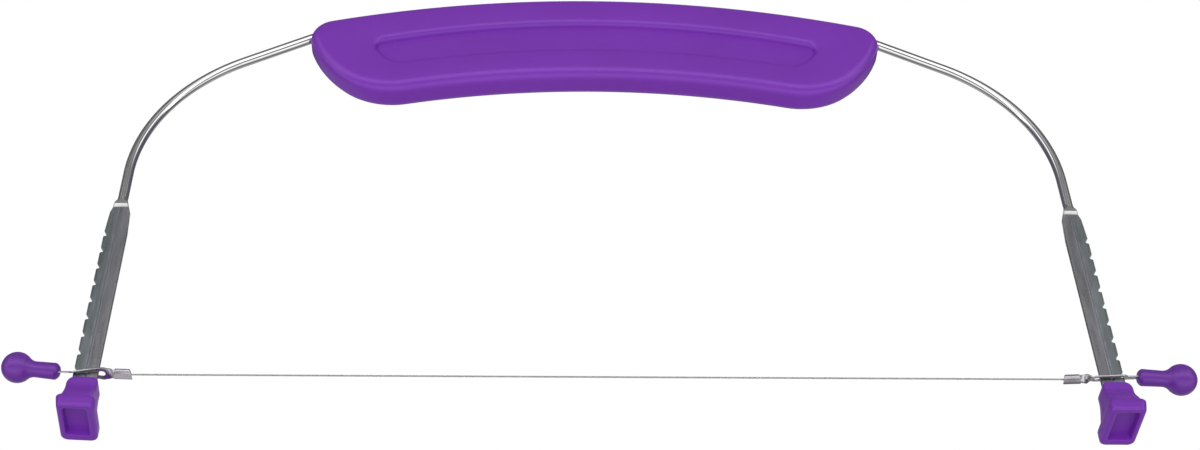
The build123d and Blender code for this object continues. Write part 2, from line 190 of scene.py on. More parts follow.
class LevelerFootSizes(bpy.types.PropertyGroup):
    """Moulded feet, from the sole to the top of the shin."""

    height: length("Height", "From the table to the top", 12.2 * MM)
    shoe_depth: length("Shoe depth", "Front to back", 15.2 * MM)
    shoe_height: length("Shoe height", "Up to the ledge beside the shin", 3.7 * MM)
    shoe_inner: length("Inner reach", "Shoe beyond the leg, towards the middle", 1.8 * MM)
    shoe_outer: length("Outer reach", "Shoe beyond the leg, at its top", 1.7 * MM)
    sole_outer: length("Sole reach", "Shoe beyond the leg, at the sole", 1.0 * MM)
    shoe_round: length("Shoe round", "Upright corners of the shoe", 1.6 * MM)
    sole_edge: length("Sole edge", "Round between sole and sides", 0.75 * MM)
    shoe_edge: length("Shoe edge", "Round between sides and ledge", 0.45 * MM)
    toe: length("Toe", "Height where the instep starts to fall in", 2.4 * MM)
    instep: length("Instep", "Height where the instep meets the shin", 10 * MM)
    shin_depth: length("Shin depth", "Front to back", 6.8 * MM)
    shin_inner: length("Shin inner wall", "Beside the leg, towards the middle", 0.8 * MM)
    shin_outer: length("Shin outer wall", "Beside the leg, outside", 0.6 * MM)
    shin_round: length("Shin round", "Upright corners of the shin", 0.75 * MM)
    shin_top: length("Shin top", "Round of the outer upper end", 2.1 * MM)
    shin_top_inner: length("Inner shin top", "Round of the inner upper end", 0.9 * MM)
    top_edge: length("Top edge", "Round at the front and back of the top", 0.5 * MM)
    hollow_depth: length("Hollow depth", "Recess in the sole", 2.2 * MM)
    hollow_round: length("Hollow round", "Corners of the recess", 0.8 * MM)
    wall_low: length("Wall low", "Lowest row of the shoe's upright wall", 1.2 * MM)
    wall_high: length("Wall high", "Next row of the shoe's upright wall", 1.8 * MM)
    rim_inner: length("Inner rim", "Sole beside the recess, towards the middle", 1.75 * MM)
    rim_outer: length("Outer rim", "Sole beside the recess, outside", 1.4 * MM)
    rim_front: length("Front rim", "Sole in front of the recess", 1.6 * MM)
    rim_back: length("Back rim", "Sole behind the recess", 2.4 * MM)
    left_turn: angle("Left turn", "Left foot, turned about its leg", 4.2)


class LevelerLinkSizes(bpy.types.PropertyGroup):
    """Stamped and folded strip links."""

    thickness: length("Strip thickness", "Sheet steel", 0.4 * MM)
    edge: length("Edge", "Round on the stamped edges", 0.08 * MM)
    tab_length: length("Tab length", "Folded round the cable", 4.6 * MM)
    tab_height: length("Tab height", "Folded round the cable", 2.6 * MM)
    bulge_radius: length("Bulge radius", "Outside of the fold round the cable", 0.62 * MM)
    bulge_z: length("Bulge height", "Middle of the fold over the link's line", 0.75 * MM)
    bulge_start: length("Bulge start", "Below its middle, where the legs part", 0.75 * MM)
    bulge_full: length("Bulge full", "Below its middle, where they stand widest", 0.2 * MM)
    pinch: length("Pinch", "Middle of each pinched leg from the tab's middle", 0.215 * MM)
    tab_slant: length("Tab slant", "How far the tab's upper corner stands back", 0.8 * MM)
    neck_start: length("Neck start", "Neck width beside the tab", 1.8 * MM)
    neck_thickness: length("Neck thickness", "Where two layers leave the tab", 0.8 * MM)
    neck_hold: length("Neck hold", "Neck inside the tab", 0.3 * MM)
    neck_reach: length("Neck reach", "Neck over the eye's end", 0.9 * MM)
    neck_still: share("Neck still", "Share of the neck before its twist starts", 0.1)
    neck_width: length("Neck width", "Where the neck meets the eye", 3.1 * MM)
    eye_start: length("Eye start", "From the cable's end", 5.7 * MM)
    eye_end: length("Eye end", "From the cable's end", 15.9 * MM)
    eye_width: length("Eye width", "Over both bars", 3.9 * MM)
    bar_width: length("Bar width", "Each side of the slot", 1.1 * MM)
    tongue_width: length("Tongue width", "Held in the knob", 1.85 * MM)
    tongue_row: length("Tongue row", "First row of the tongue past the eye", 0.5 * MM)
    insert: length("Insert", "Tongue inside the knob", 6 * MM)
    right_reach: length("Right reach", "Right tab starts nearer the middle", 1.2 * MM)
    left_outer_roll: angle("Left outer roll", "Left link at its tongue", 41)
    left_inner_roll: angle("Left inner roll", "Left link at its neck", -22)
    left_tab_roll: angle("Left tab roll", "Turn of the left tab about the cable", 30)
    right_outer_roll: angle("Right outer roll", "Right link at its tongue", 16)
    right_inner_roll: angle("Right inner roll", "Right link at its neck", 21)
    right_tab_roll: angle("Right tab roll", "Turn of the right tab about the cable", 2)


class LevelerFinishes(bpy.types.PropertyGroup):
    """Colours and gloss."""

    grip_colour: colour("Grip", "Moulded purple of the grip", (0.17, 0.021, 0.395))
    foot_colour: colour("Feet", "Moulded purple of the feet", (0.16, 0.022, 0.37))
    knob_colour: colour("Knobs", "Moulded purple of the knobs", (0.125, 0.019, 0.285))
    rod_colour: colour("Rod", "Polished rod", (0.66, 0.66, 0.665))
    leg_colour: colour("Legs", "Pressed strip", (0.375, 0.38, 0.39))
    link_colour: colour("Links", "Stamped strip", (0.43, 0.405, 0.435))
    cable_colour: colour("Cable", "Fine stranded cable", (0.5, 0.5, 0.5))
    plastic_roughness: share("Plastic roughness", "Of the moulded parts", 0.36)
    rod_roughness: share("Rod roughness", "Of the polished rod", 0.1)
    leg_roughness: share("Leg roughness", "Of the pressed strip", 0.3)
    link_roughness: share("Link roughness", "Of the stamped strip", 0.34)
    cable_roughness: share("Cable roughness", "Of the strands", 0.28)


class LevelerStage(bpy.types.PropertyGroup):
    """Floor, light and camera."""

    floor_colour: colour("Floor", "Plain pale floor", (0.86, 0.86, 0.86))
    floor_roughness: share("Floor roughness", "Of the plain floor", 0.8)
    floor_gap: length("Floor gap", "Floor below the soles", 0.3 * MM)
    floor_size: length("Floor size", "Side of the square floor", 6.0)
    room_light: share("Room light", "Even light from all round", 0.68, 5)
    key_light: share("Key light", "Soft lamp in front, in watts", 5.0, 100)
    top_light: share("Top light", "Soft lamp overhead, in watts", 9.0, 100)
    key_place: point("Key place", "Where the front lamp hangs", (-0.04, -0.86, -0.46))
    top_place: point("Top place", "Where the overhead lamp hangs", (0.25, 0.35, 1.1))
    lamp_size: length("Lamp size", "Diameter of both lamps", 0.9)
    camera_place: point("Camera place", "Where the camera stands", (-0.01767, -0.37803, -0.28508))
    camera_yaw: angle("Camera yaw", "Turned to the right of +Y", 2.673)
    camera_pitch: angle("Camera pitch", "Looking up", 43.036)
    camera_roll: angle("Camera roll", "Turned about its own line of sight", -1.374)
    camera_lens: bpy.props.FloatProperty(
        name="Camera lens", description="Focal length in millimetres", default=56.87, min=1.0
    )


# Surfaces worked out on grids


def skin_faces(rings, closed_along=False):
    """Points and faces of a surface that passes through a stack of closed rings.

    The rings are rows by points by XYZ. Neighbouring rings are joined by quads, and each ring
    closes on itself. The first and last ring are each filled by one face, unless the stack closes.
    """
    rows, around = rings.shape[:2]
    row = np.arange(rows if closed_along else rows - 1)[:, None] * around
    step = np.arange(around)[None, :]
    next_row = (row + around) % (rows * around)
    next_step = (step + 1) % around
    quads = np.stack([row + step, row + next_step, next_row + next_step, next_row + step], -1)
    faces = quads.reshape(-1, 4).tolist()
    if not closed_along:
        faces.append(np.arange(around)[::-1].tolist())
        faces.append((np.arange(around) + (rows - 1) * around).tolist())
    return rings.reshape(-1, 3), faces


def skin(name, stacks, crease=30.0):
    """Object made of one or more stacks of rings.

    Each stack is an array, or a pair of an array and True if it closes on itself.
    """
    points, faces, first = [], [], 0
    for stack in stacks:
        rings, closed = stack if isinstance(stack, tuple) else (stack, False)
        more_points, more_faces = skin_faces(rings, closed)
        points.append(more_points)
        faces += [[corner + first for corner in face] for face in more_faces]
        first += len(more_points)
    mesh = bpy.data.meshes.new(name)
    mesh.from_pydata(np.vstack(points).tolist(), [], faces)
    return finish_mesh(name, mesh, crease)


def finish_mesh(name, mesh, crease, merge=0.5e-6):
    """Merges doubles, turns faces outwards, shades smooth up to the crease, and links the object."""
    work = bmesh.new()
    work.from_mesh(mesh)
    bmesh.ops.remove_doubles(work, verts=work.verts, dist=merge)
    bmesh.ops.dissolve_degenerate(work, dist=merge, edges=work.edges)
    bmesh.ops.recalc_face_normals(work, faces=work.faces)
    work.to_mesh(mesh)
    work.free()
    mesh.polygons.foreach_set("use_smooth", np.ones(len(mesh.polygons), bool))
    mesh.set_sharp_from_angle(angle=np.radians(crease))
    made = bpy.data.objects.new(name, mesh)
    bpy.context.scene.collection.objects.link(made)
    return made


def tube_rings(path, radius, sides):
    """Circles carried along a path in the XZ plane.

    Each circle stands across the mean of the two runs that meet at its point, and is drawn out in
    the plane of the path by one over the cosine of half the turn, so that the tube keeps its width.
    """
    runs = np.diff(path, axis=0)
    runs /= np.linalg.norm(runs, axis=1, keepdims=True)
    before = np.vstack([runs[:1], runs])
    after = np.vstack([runs, runs[-1:]])
    mean = before + after
    half_turn = np.linalg.norm(mean, axis=1, keepdims=True) / 2
    mean /= 2 * half_turn
    across = np.stack([-mean[:, 1], mean[:, 0]], 1) / half_turn
    theta = np.linspace(0, 2 * np.pi, sides, endpoint=False)
    plane = path[:, None, :] + radius * np.cos(theta)[None, :, None] * across[:, None, :]
    depth = np.broadcast_to(radius * np.sin(theta), plane.shape[:2])
    return np.stack([plane[..., 0], depth, plane[..., 1]], -1)


def bow_levels(bow):
    """Heights of the lower ends of the bend, the round rod, the wedge and the neck."""
    turn = np.pi / 2 - bow.slope
    entry_z = CROWN_Z - bow.entry_drop
    bend_end_x = bow.leg_x - bow.bend_radius * (1 - np.cos(turn))
    bend_end_z = entry_z - (bend_end_x - bow.grip_end_x) * np.tan(bow.slope)
    bend_z = bend_end_z - bow.bend_radius * np.sin(turn)
    rod_z = bend_z - bow.upright
    flat_z = rod_z - bow.transition
    return bend_z, rod_z, flat_z, flat_z - bow.neck


def bow_path(bow):
    """Centreline from leg to leg: upright, arc of constant radius, slope, and level in the grip."""
    bend_z, rod_z = bow_levels(bow)[:2]
    turn = np.linspace(0, np.pi / 2 - bow.slope, 56)
    arc = np.stack(
        [
            bow.leg_x - bow.bend_radius * (1 - np.cos(turn)),
            bend_z + bow.bend_radius * np.sin(turn),
        ],
        1,
    )
    corner = [
        bow.grip_end_x - bow.hidden_run,
        CROWN_Z - bow.entry_drop + bow.hidden_run * np.tan(bow.slope),
    ]
    right = np.vstack([[[bow.leg_x, rod_z]], arc, [corner]])
    return np.vstack([right * (-1, 1), right[::-1]])


ROUND_POWER, FLAT_POWER = 2, 16
LEG_POINTS = 64
# Points across the middle of each face of a leg, as shares of its half width
GROOVE_SHARES = (-0.4, -0.17, -0.12, -0.08, -0.04, 0, 0.04, 0.08, 0.12, 0.17, 0.4)


def leg_rings(bow, side):
    """Right or left leg as a stack of sections, one for each height.

    A section is a superellipse, x = W sign(cos t) |cos t|^(2/p) and y = T sign(sin t) |sin t|^(2/p).
    The power p grows from 2, the round rod, to a near rectangle over the wedge. The outer half is
    narrowed by the notch profile and thins evenly towards its edge. The middle of each face has a
    groove of depth (1 - (x / w)^2)^2, which fades out at the top of the strip. The rod thins slowly
    at first, by 3 s^2 - 2 s^3, and then steeply over the facet, as a press leaves it.
    """
    rod_z, flat_z, full_z = bow_levels(bow)[1:]
    top, radius = bow.leg_width / 2, bow.rod_diameter / 2
    notches = bow.first_notch + bow.notch_pitch * np.arange(bow.notch_count)
    half = bow.notch_floor / 2
    offsets = np.array([-half - bow.notch_ledge, -half, half, half + bow.notch_ramp])
    cuts = np.array([0.0, bow.notch_depth, bow.notch_depth, 0.0])
    corner_z = (notches[:, None] + offsets).ravel()
    facet_z, shoulder_z = flat_z + bow.facet, flat_z - bow.leg_shoulder
    wedge = np.concatenate([np.linspace(flat_z, facet_z, 5), np.linspace(facet_z, rod_z, 10)[1:]])
    levels = np.unique(np.concatenate([[LEG_FOOT_Z, full_z, shoulder_z], corner_z, wedge]))
    cut = np.interp(levels, corner_z, np.tile(cuts, len(notches)), left=0, right=0)
    pressed = np.clip((rod_z - levels) / (rod_z - flat_z), 0, 1)
    eased = pressed * pressed * (3 - 2 * pressed)
    steep = np.clip((facet_z - levels) / bow.facet, 0, 1)
    shoulder, narrow = bow.leg_shoulder_width / 2, bow.leg_top_width / 2
    wide = np.interp(levels, [full_z, shoulder_z, flat_z, rod_z], [top, shoulder, narrow, radius])
    thinning = (1 - bow.facet_share) * eased + bow.facet_share * steep
    thick = radius + (bow.leg_thickness / 2 - radius) * thinning
    power = ROUND_POWER + (FLAT_POWER - ROUND_POWER) * eased[:, None] ** 2
    theta = np.linspace(0, 2 * np.pi, LEG_POINTS, endpoint=False)
    near = np.array(GROOVE_SHARES)
    front = np.sign(near) * np.abs(near * (0.2 + 0.8 * eased[:, None])) ** (power / 2)
    back = front[:, ::-1]
    c = np.repeat(np.cos(theta)[None, :], len(levels), 0)
    s = np.repeat(np.sin(theta)[None, :], len(levels), 0)
    # The middle point of each face gives way to the row of points across its groove
    top_at, low_at = LEG_POINTS // 4, 3 * LEG_POINTS // 4
    before, between, after = slice(top_at), slice(top_at + 1, low_at), slice(low_at + 1, None)
    c = np.hstack([c[:, before], back, c[:, between], front, c[:, after]])
    back_s, front_s = np.sqrt(1 - back**2), -np.sqrt(1 - front**2)
    s = np.hstack([s[:, before], back_s, s[:, between], front_s, s[:, after]])
    c, s = np.where(abs(c) < 1e-12, 0, c), np.where(abs(s) < 1e-12, 0, s)
    x = np.sign(c) * np.abs(c) ** (2 / power)
    y = np.sign(s) * np.abs(s) ** (2 / power)
    outer = np.clip(x, 0, None)
    width = np.where(x > 0, wide[:, None] - cut[:, None], wide[:, None])
    fall = bow.outer_fall * outer * width / top
    groove = bow.groove_depth * np.clip(1 - (x * wide[:, None] / bow.groove_width) ** 2, 0, 1) ** 2
    groove *= np.clip((flat_z - levels) / bow.leg_shoulder, 0, 1)[:, None]
    depth = y * (thick[:, None] - fall * eased[:, None] - groove)
    height = np.broadcast_to(levels[:, None], x.shape)
    return np.stack([side * (bow.leg_x + x * width), depth, height], -1)


def split_leg(bow, side):
    """Rings of a leg's flat strip, and of its end that turns round. They share the ring between."""
    rings = leg_rings(bow, side)
    split = int(np.argmin(abs(rings[:, 0, 2] - bow_levels(bow)[2])))
    return rings[: split + 1], rings[split:]


def rounded_rectangle(x_low, x_high, y_low, y_high, corner, turn=6, along=4):
    """Ring of a rounded rectangle for each row of sizes, anticlockwise from the high X side.

    Each corner is a quarter circle, x = cx + r cos a and y = cy + r sin a, and the straights between
    are divided evenly, so that every ring has the same number of points.
    """
    sizes = np.broadcast_arrays(x_low, x_high, y_low, y_high, corner)
    x_low, x_high, y_low, y_high, corner = (np.asarray(size, float)[..., None] for size in sizes)
    quarter = np.linspace(0, np.pi / 2, turn)
    xs, ys = [], []
    for number, (cx, cy) in enumerate(
        (
            (x_high - corner, y_high - corner),
            (x_low + corner, y_high - corner),
            (x_low + corner, y_low + corner),
            (x_high - corner, y_low + corner),
        )
    ):
        xs.append(cx + corner * np.cos(quarter + number * np.pi / 2))
        ys.append(cy + corner * np.sin(quarter + number * np.pi / 2))
    part = np.arange(1, along) / along
    rows_x, rows_y = [], []
    for number in range(4):
        after = (number + 1) % 4
        rows_x += [xs[number], xs[number][..., -1:] * (1 - part) + xs[after][..., :1] * part]
        rows_y += [ys[number], ys[number][..., -1:] * (1 - part) + ys[after][..., :1] * part]
    return np.concatenate(rows_x, -1), np.concatenate(rows_y, -1)


# Soft edges of the recess in mm, as distance and inset. The fillet's distance is measured down from
# the recess floor, and the lip's is measured up from the sole.
FLOOR_FILLET = ((0, 0.3), (0.08, 0.08), (0.3, 0))
SOLE_LIP = ((0.3, -0.02), (0.1, -0.1), (0, -0.3))
# Rows of the instep, as shares of its height. The first one lies just over the ledge.
INSTEP_SHARES = (0.005, *np.linspace(0.04, 1, 22))


def foot_rings(foot, bow, side, turned):
    """Foot as one stack of rounded rectangles: recess in the sole, sole, shoe, instep and shin.

    Each row has a height, four sides and a corner round. Edge rounds are quarter circles, inset
    R (1 - cos f) against height R (1 - sin f). The shoe's outer side leans out with height. The
    instep's half depth follows (1 + cos(pi s)) / 2 from toe to shin. The foot is turned about its
    leg, and its sole is shortened by what the turn adds to its depth.
    """
    inner_leg, outer_leg = bow.leg_x - bow.leg_width / 2, bow.leg_x + bow.leg_width / 2
    low_x, sole_x = inner_leg - foot.shoe_inner, outer_leg + foot.sole_outer
    shin_x0, shin_x1 = inner_leg - foot.shin_inner, outer_leg + foot.shin_outer
    lean = (foot.shoe_outer - foot.sole_outer) / foot.shoe_height
    half = foot.shoe_depth / 2 - (bow.leg_x - low_x - foot.shoe_round) * np.sin(turned)
    shin_half, ledge, top = foot.shin_depth / 2, foot.shoe_edge, foot.shoe_height
    turn = np.linspace(0, np.pi / 2, 6)
    rows = []

    def row(z, x0, x1, y0, y1, corner):
        rows.append((z, x0, x1, y0, y1, corner))

    def hollow_row(z, inset):
        x0, x1 = low_x + foot.rim_inner + inset, sole_x - foot.rim_outer - inset
        y0, y1 = -half + foot.rim_front + inset, half - foot.rim_back - inset
        row(z, x0, x1, y0, y1, foot.hollow_round - inset)

    def depth_at(z):
        along = np.clip((z - foot.toe) / (foot.instep - foot.toe), 0, 1)
        return shin_half + (half - shin_half) * (1 + np.cos(np.pi * along)) / 2

    for down, inset in FLOOR_FILLET:
        hollow_row(foot.hollow_depth - down * MM, inset * MM)
    for up, inset in SOLE_LIP:
        hollow_row(up * MM, inset * MM)
    for f in turn:
        inset, z = foot.sole_edge * (1 - np.sin(f)), foot.sole_edge * (1 - np.cos(f))
        x0, x1, y = low_x + inset, sole_x + lean * z - inset, half - inset
        row(z, x0, x1, -y, y, foot.shoe_round - inset / 2)
    for z in (foot.wall_low, foot.wall_high, foot.toe):
        row(z, low_x, sole_x + lean * z, -half, half, foot.shoe_round)
    for f in turn:
        inset, z = ledge * (1 - np.cos(f)), top - ledge * (1 - np.sin(f))
        y = depth_at(z)
        row(z, low_x + inset, sole_x + lean * z - inset, -y, y, foot.shoe_round)
    for up in INSTEP_SHARES:
        z = top + (foot.instep - top) * up
        y = depth_at(z)
        row(z, shin_x0, shin_x1, -y, y, foot.shoe_round + (foot.shin_round - foot.shoe_round) * up)
    for f in np.linspace(0, np.pi / 2, 14):
        z = foot.height - foot.shin_top * (1 - np.sin(f))
        over = np.clip(z - foot.height + np.array([foot.top_edge, foot.shin_top_inner]), 0, None)
        y = shin_half - (foot.top_edge - np.sqrt(foot.top_edge**2 - over[0] ** 2))
        inner = foot.shin_top_inner - np.sqrt(foot.shin_top_inner**2 - over[1] ** 2)
        outer = foot.shin_top * (1 - np.cos(f))
        row(z, shin_x0 + inner, shin_x1 - outer, -y, y, foot.shin_round)
    z, x0, x1, y0, y1, corner = np.array(rows).T
    x, y = rounded_rectangle(x0, x1, y0, y1, corner)
    x = side * (x - bow.leg_x)
    spun_x = side * bow.leg_x + x * np.cos(turned) - y * np.sin(turned)
    spun_y = x * np.sin(turned) + y * np.cos(turned)
    return np.stack([spun_x, spun_y, np.broadcast_to(z[:, None], x.shape)], -1)


def on_link(local, roll, side, knob):
    """Places points of a link: X runs out along the leaning link, Y across it and Z off its face.

    Each point is turned about the link's line by the roll there, and then set on the line.
    """
    lean = knob.link_lean
    out = np.array([side * np.cos(lean), 0, np.sin(lean)])
    face = np.array([-side * np.sin(lean), 0, np.cos(lean)])
    across = np.array([0, 1, 0])
    roll = np.broadcast_to(roll, local.shape[:-1])[..., None]
    turned_across = np.cos(roll) * across + np.sin(roll) * face
    turned_face = np.cos(roll) * face - np.sin(roll) * across
    start = np.array([side * knob.cable_end_x, 0, WIRE_Z])
    x, y, z = (local[..., axis, None] for axis in range(3))
    return start + x * out + y * turned_across + z * turned_face


def eased(value, low, high):
    """Share of the way from low to high, 3 s^2 - 2 s^3."""
    s = np.clip((value - low) / (high - low), 0, 1)
    return s * s * (3 - 2 * s)


def knob_mouth_x(knob, lean):
    """X of a knob's mouth, worked back from the tip of its ball."""
    return KNOB_TIP_X - (knob.length - knob.ball / 2) * np.cos(lean) - knob.ball / 2


def eye_rings(link, strip):
    """Slotted eye in the link's own axes: a flat bar round two straights and two half circles."""
    bend = (link.eye_width - link.bar_width) / 2
    first = link.eye_start + link.bar_width / 2 + bend
    last = link.eye_end - link.bar_width / 2 - bend
    run = np.linspace(first, last, 17)
    level = np.ones(len(run))
    turn = np.linspace(-np.pi / 2, np.pi / 2, 15)[1:-1]
    cos, sin = np.cos(turn), np.sin(turn)
    centre_x = np.concatenate([run, last + bend * cos, run[::-1], first - bend * cos])
    centre_y = bend * np.concatenate([-level, sin, level, -sin])
    normal_x = np.concatenate([0 * level, cos, 0 * level, -cos])
    normal_y = np.concatenate([-level, sin, level, -sin])
    half = link.bar_width / 2
    u, v = rounded_rectangle(-half, half, -strip / 2, strip / 2, link.edge, 3, 2)
    x = centre_x[:, None] + normal_x[:, None] * u
    y = centre_y[:, None] + normal_y[:, None] * u
    return np.stack([x, y, np.broadcast_to(v, x.shape)], -1)


# Rows of a tab along its length, and their size, smaller at its two softened ends
TAB_ALONG_SHARES = (0, 0.02, 0.98, 1)
TAB_SIZE_SHARES = (0.93, 1, 1, 0.93)


def tab_rings(link, strip, reach):
    """Tab in the link's own axes: a strip folded round the cable, its two layers pinched below it."""
    fold = np.linspace(0, np.pi, 15)
    leg_z = np.linspace(link.bulge_z - link.tab_height + link.bulge_radius, link.bulge_z, 15)[:-1]
    bulge = link.bulge_radius - strip / 2
    start, full = link.bulge_z - link.bulge_start, link.bulge_z - link.bulge_full
    leg_y = link.pinch + (bulge - link.pinch) * eased(leg_z, start, full)
    line_y = np.concatenate([-leg_y, -bulge * np.cos(fold), leg_y[::-1]])
    line_z = np.concatenate([leg_z, link.bulge_z + bulge * np.sin(fold), leg_z[::-1]])
    step_y, step_z = np.gradient(line_y), np.gradient(line_z)
    size = np.hypot(step_y, step_z)
    off_y, off_z = -step_z / size * strip / 2, step_y / size * strip / 2
    ring_y = np.concatenate([line_y + off_y, (line_y - off_y)[::-1]])
    ring_z = np.concatenate([line_z + off_z, (line_z - off_z)[::-1]])
    along = np.array(TAB_ALONG_SHARES)[:, None]
    shrink = np.array(TAB_SIZE_SHARES)[:, None]
    raised = (ring_z - ring_z.min()) / np.ptp(ring_z)
    x = along * link.tab_length - reach + (1 - along) * link.tab_slant * raised
    return np.stack(np.broadcast_arrays(x, ring_y * shrink, ring_z * shrink), -1)


def link_stacks(link, knob, side, reach, lean, outer_roll, inner_roll, tab_roll):
    """Strip link as four skins: slotted eye, twisted neck, tongue and tab folded round the cable.

    The roll changes evenly from the inner to the outer one along the eye. The neck is a bar whose
    width and thickness change evenly while its roll eases from the tab's to the eye's. The tongue
    bends into the knob's own lean at its mouth. The tab starts nearer the middle by its reach.
    """
    strip = link.thickness
    eye = eye_rings(link, strip)
    along = np.clip((eye[..., 0] - link.eye_start) / (link.eye_end - link.eye_start), 0, 1)
    eye_roll = inner_roll + (outer_roll - inner_roll) * along
    eye = on_link(eye, eye_roll, side, knob)

    s = np.linspace(0, 1, 10)
    width = link.neck_start + (link.neck_width - link.neck_start) * s
    thick = link.neck_thickness + (strip - link.neck_thickness) * s
    u, v = rounded_rectangle(-width / 2, width / 2, -thick / 2, thick / 2, link.edge, 3, 2)
    first = link.tab_length - reach - link.neck_hold
    x = first + (link.eye_start + link.neck_reach - first) * s
    neck = np.stack([np.broadcast_to(x[:, None], u.shape), u, v], -1)
    upright = tab_roll - np.pi / 2
    neck_roll = upright + (inner_roll - upright) * eased(s, link.neck_still, 1)
    neck = on_link(neck, neck_roll[:, None], side, knob)

    mouth = (knob_mouth_x(knob, lean) - knob.cable_end_x) / np.cos(knob.link_lean)
    x = np.array(
        [link.eye_end - link.bar_width, link.eye_end + link.tongue_row, mouth, mouth + link.insert]
    )
    half = link.tongue_width / 2
    u, v = rounded_rectangle(-half, half, -strip / 2, strip / 2, link.edge, 3, 2)
    tongue = np.stack(np.broadcast_arrays(x[:, None], u, v), -1)
    tongue = on_link(tongue, outer_roll, side, knob)
    past = np.clip(x - mouth, 0, None)[:, None]
    tongue[..., 2] += past * (np.tan(lean) - np.tan(knob.link_lean))

    tab = on_link(tab_rings(link, strip, reach), tab_roll, side, knob)
    return [(eye, True), neck, tongue, tab]


def circle_crossing(centre_a, radius_a, centre_b, radius_b, lean):
    """Where two circles cross, on the side that lean names."""
    a, b = np.array(centre_a, float), np.array(centre_b, float)
    gap = b - a
    distance = np.linalg.norm(gap)
    along = (distance**2 + radius_a**2 - radius_b**2) / (2 * distance)
    off = np.sqrt(max(radius_a**2 - along**2, 0.0))
    return a + gap / distance * along + lean * off * np.array([-gap[1], gap[0]]) / distance


def arc_points(centre, radius, start, end, steps, hollow=False):
    """Points of an arc and their outward normals, between two directions given as points."""
    first = np.arctan2(*(np.array(start) - centre)[::-1])
    last = np.arctan2(*(np.array(end) - centre)[::-1])
    last = first + (last - first + np.pi) % (2 * np.pi) - np.pi
    theta = np.linspace(first, last, steps)
    normal = np.stack([np.cos(theta), np.sin(theta)], 1)
    return np.array(centre) + radius * normal, -normal if hollow else normal


def boat_ring(end_x, end_z, heel_x, heel_z, crown, waist, end_radius, upper_round, lower_round):
    """Closed ring of four arcs with rounded corners, and its outward normals.

    The crown arc passes through the crown and both upper corners, the waist arc through the waist
    and both lower corners, and an arc of the end radius bulges between them. Each corner round is
    the circle that touches both of its arcs. The ring starts at the middle of the crown and runs
    clockwise. Both halves have the same number of points, so point i lies over point n / 2 - i.
    """
    crown_drop, waist_drop = crown - end_z, waist - heel_z
    crown_radius = (end_x**2 + crown_drop**2) / (2 * crown_drop)
    waist_radius = (heel_x**2 + waist_drop**2) / (2 * waist_drop)
    crown_centre = np.array([0, crown - crown_radius])
    waist_centre = np.array([0, waist - waist_radius])
    end_centre = circle_crossing((end_x, end_z), end_radius, (heel_x, heel_z), end_radius, -1)
    shoulder = circle_crossing(
        crown_centre, crown_radius - upper_round, end_centre, end_radius - upper_round, -1
    )
    heel = circle_crossing(
        end_centre, end_radius - lower_round, waist_centre, waist_radius + lower_round, 1
    )

    def touch(centre, radius, toward):
        """Point of a circle on its ray towards another centre."""
        ray = np.array(toward) - centre
        return centre + radius * ray / np.linalg.norm(ray)

    crown_end = touch(crown_centre, crown_radius, shoulder)
    end_start = touch(end_centre, end_radius, shoulder)
    end_end = touch(end_centre, end_radius, heel)
    waist_start = touch(waist_centre, waist_radius, heel)
    pieces = [
        arc_points(crown_centre, crown_radius, (0, crown), crown_end, 41),
        arc_points(shoulder, upper_round, crown_end, end_start, 13),
        arc_points(end_centre, end_radius, end_start, end_end, 21),
        arc_points(heel, lower_round, end_end, waist_start, 21),
        arc_points(waist_centre, waist_radius, waist_start, (0, waist), 31, hollow=True),
    ]
    points = np.vstack([part[0][: len(part[0]) - 1] for part in pieces] + [pieces[-1][0][-1:]])
    normals = np.vstack([part[1][: len(part[1]) - 1] for part in pieces] + [pieces[-1][1][-1:]])
    flip = np.array([-1, 1])
    return np.vstack([points, points[-2:0:-1] * flip]), np.vstack([normals, normals[-2:0:-1] * flip])


def grip_rings(grip, side):
    """One half of the grip: parting plane, rounded edge, face, lip, recess wall and recess floor.

    Each ring is the outline moved in along its normals and set at a depth. Over the edge round the
    inset is R (1 - cos f) and the depth grows by R sin f. The recess wall leans by its draft, and
    its lip is an arc that touches the face and the wall.
    """
    heel_x = grip.end_x - grip.heel_setback
    outline, normal = boat_ring(
        grip.end_x,
        CROWN_Z - grip.end_drop,
        heel_x,
        CROWN_Z - grip.waist - grip.heel_drop,
        CROWN_Z,
        CROWN_Z - grip.waist,
        grip.end_radius,
        grip.shoulder_round,
        grip.heel_round,
    )
    recess_crown = CROWN_Z - grip.recess_margin
    recess_waist = recess_crown - grip.recess_height
    mouth, mouth_normal = boat_ring(
        grip.recess_end,
        recess_crown - grip.recess_end_drop,
        grip.recess_heel,
        recess_waist - grip.recess_heel_drop,
        recess_crown,
        recess_waist,
        grip.end_radius,
        grip.recess_shoulder,
        grip.recess_heel_round,
    )

    def ring(points, normals, inset, depth):
        moved = points - inset * normals
        return np.stack([moved[:, 0], np.full(len(moved), side * depth), moved[:, 1]], 1)

    turn = np.linspace(0, np.pi / 2, 10)
    insets = grip.edge_round * (1 - np.cos(turn))
    depths = GRIP_FACE_Y - grip.edge_round * (1 - np.sin(turn))
    shell = [ring(outline, normal, 0, 0)]
    shell += [ring(outline, normal, i, d) for i, d in zip(insets, depths)]
    lean = np.pi / 2 - grip.recess_draft
    reach = grip.lip_round * np.tan(lean / 2)
    lip = np.linspace(0, lean, 6)
    lip_in = -reach + grip.lip_round * np.sin(lip)
    lip_down = grip.lip_round * (1 - np.cos(lip))
    shell += [ring(mouth, mouth_normal, i, GRIP_FACE_Y - d) for i, d in zip(lip_in, lip_down)]
    floor_inset = grip.recess_depth * np.tan(grip.recess_draft)
    floor = GRIP_FACE_Y - grip.recess_depth
    shell.append(ring(mouth, mouth_normal, floor_inset, floor))
    shell.append(ring(mouth, mouth_normal, floor_inset + grip.floor_ring, floor))
    return np.array(shell)


